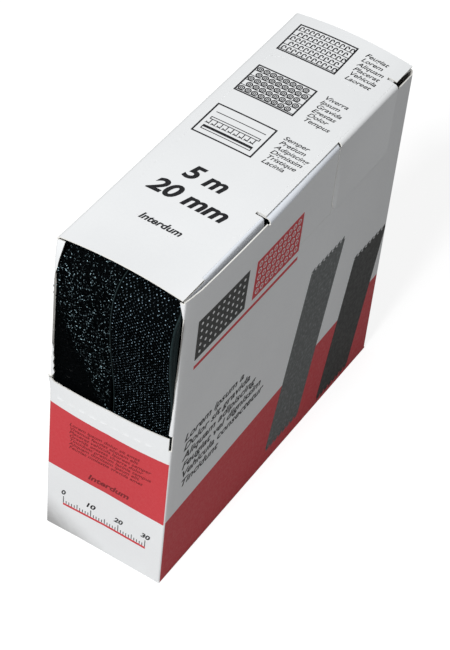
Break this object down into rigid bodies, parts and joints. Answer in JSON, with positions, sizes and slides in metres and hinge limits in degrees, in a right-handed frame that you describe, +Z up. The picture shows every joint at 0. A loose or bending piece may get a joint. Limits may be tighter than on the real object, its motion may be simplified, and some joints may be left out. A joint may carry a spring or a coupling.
{
  "type": "hook and loop tape dispenser",
  "caption": "Folded board dispenser carton with a tuck-in lid and an open front window, holding a roll of black loop tape and a roll of black hook tape side by side.",
  "frame": {"origin": "on the resting plane, under the middle of the base panel", "axes": "+Z up, the window faces -Y, the right side panel that the lid locks on faces +X"},
  "size_m": [0.0431, 0.1299, 0.124],
  "materials": {
    "printed_board": "coated white folding board with printed bands",
    "inner_board": "uncoated grey side of the board",
    "core_board": "wound brown board tube",
    "loop_pile": "brushed nylon loop pile",
    "hook_weave": "woven nylon with rows of hooks"
  },
  "bodies": {
    "carton": {"left_side_panel": "printed_board", "right_side_panel": "printed_board", "back_panel": "printed_board", "front_panel": "printed_board", "front_right_strip": "printed_board", "seam_flap": "inner_board", "bottom_panel": "printed_board", "bottom_tuck_flap": "inner_board", "bottom_front_dust_flap": "inner_board", "bottom_back_dust_flap": "inner_board", "lock_tongue": "printed_board", "top_back_dust_flap": "inner_board", "loop_outer_turn": "loop_pile", "hook_outer_turn": "hook_weave"},
    "lid": {"top_lid": "printed_board", "tuck_flap_front": "printed_board"},
    "rear_flap": {"tuck_flap_rear": "printed_board"},
    "loop_roll": {"loop_core": "core_board", "loop_tape": "loop_pile"},
    "hook_roll": {"hook_core": "core_board", "hook_tape": "hook_weave"}
  },
  "joints": [
    {"name": "lid_hinge", "type": "hinge", "parent": "carton", "child": "lid", "pos_m": [-0.0212, 0, 0.124], "axis": [0, -1, 0], "range_deg": [0, 180], "deforming": ["tuck_flap_front"]},
    {"name": "rear_flap_fold", "type": "hinge", "parent": "lid", "child": "rear_flap", "pos_m": [0.0215, 0, 0.1236], "axis": [0, -1, 0], "range_deg": [0, 90]},
    {"name": "loop_roll_spin", "type": "hinge", "parent": "carton", "child": "loop_roll", "pos_m": [-0.0105, 0, 0.0587], "axis": [1, 0, 0], "continuous": true},
    {"name": "hook_roll_spin", "type": "hinge", "parent": "carton", "child": "hook_roll", "pos_m": [0.0098, 0, 0.0587], "axis": [1, 0, 0], "continuous": true}
  ]
}
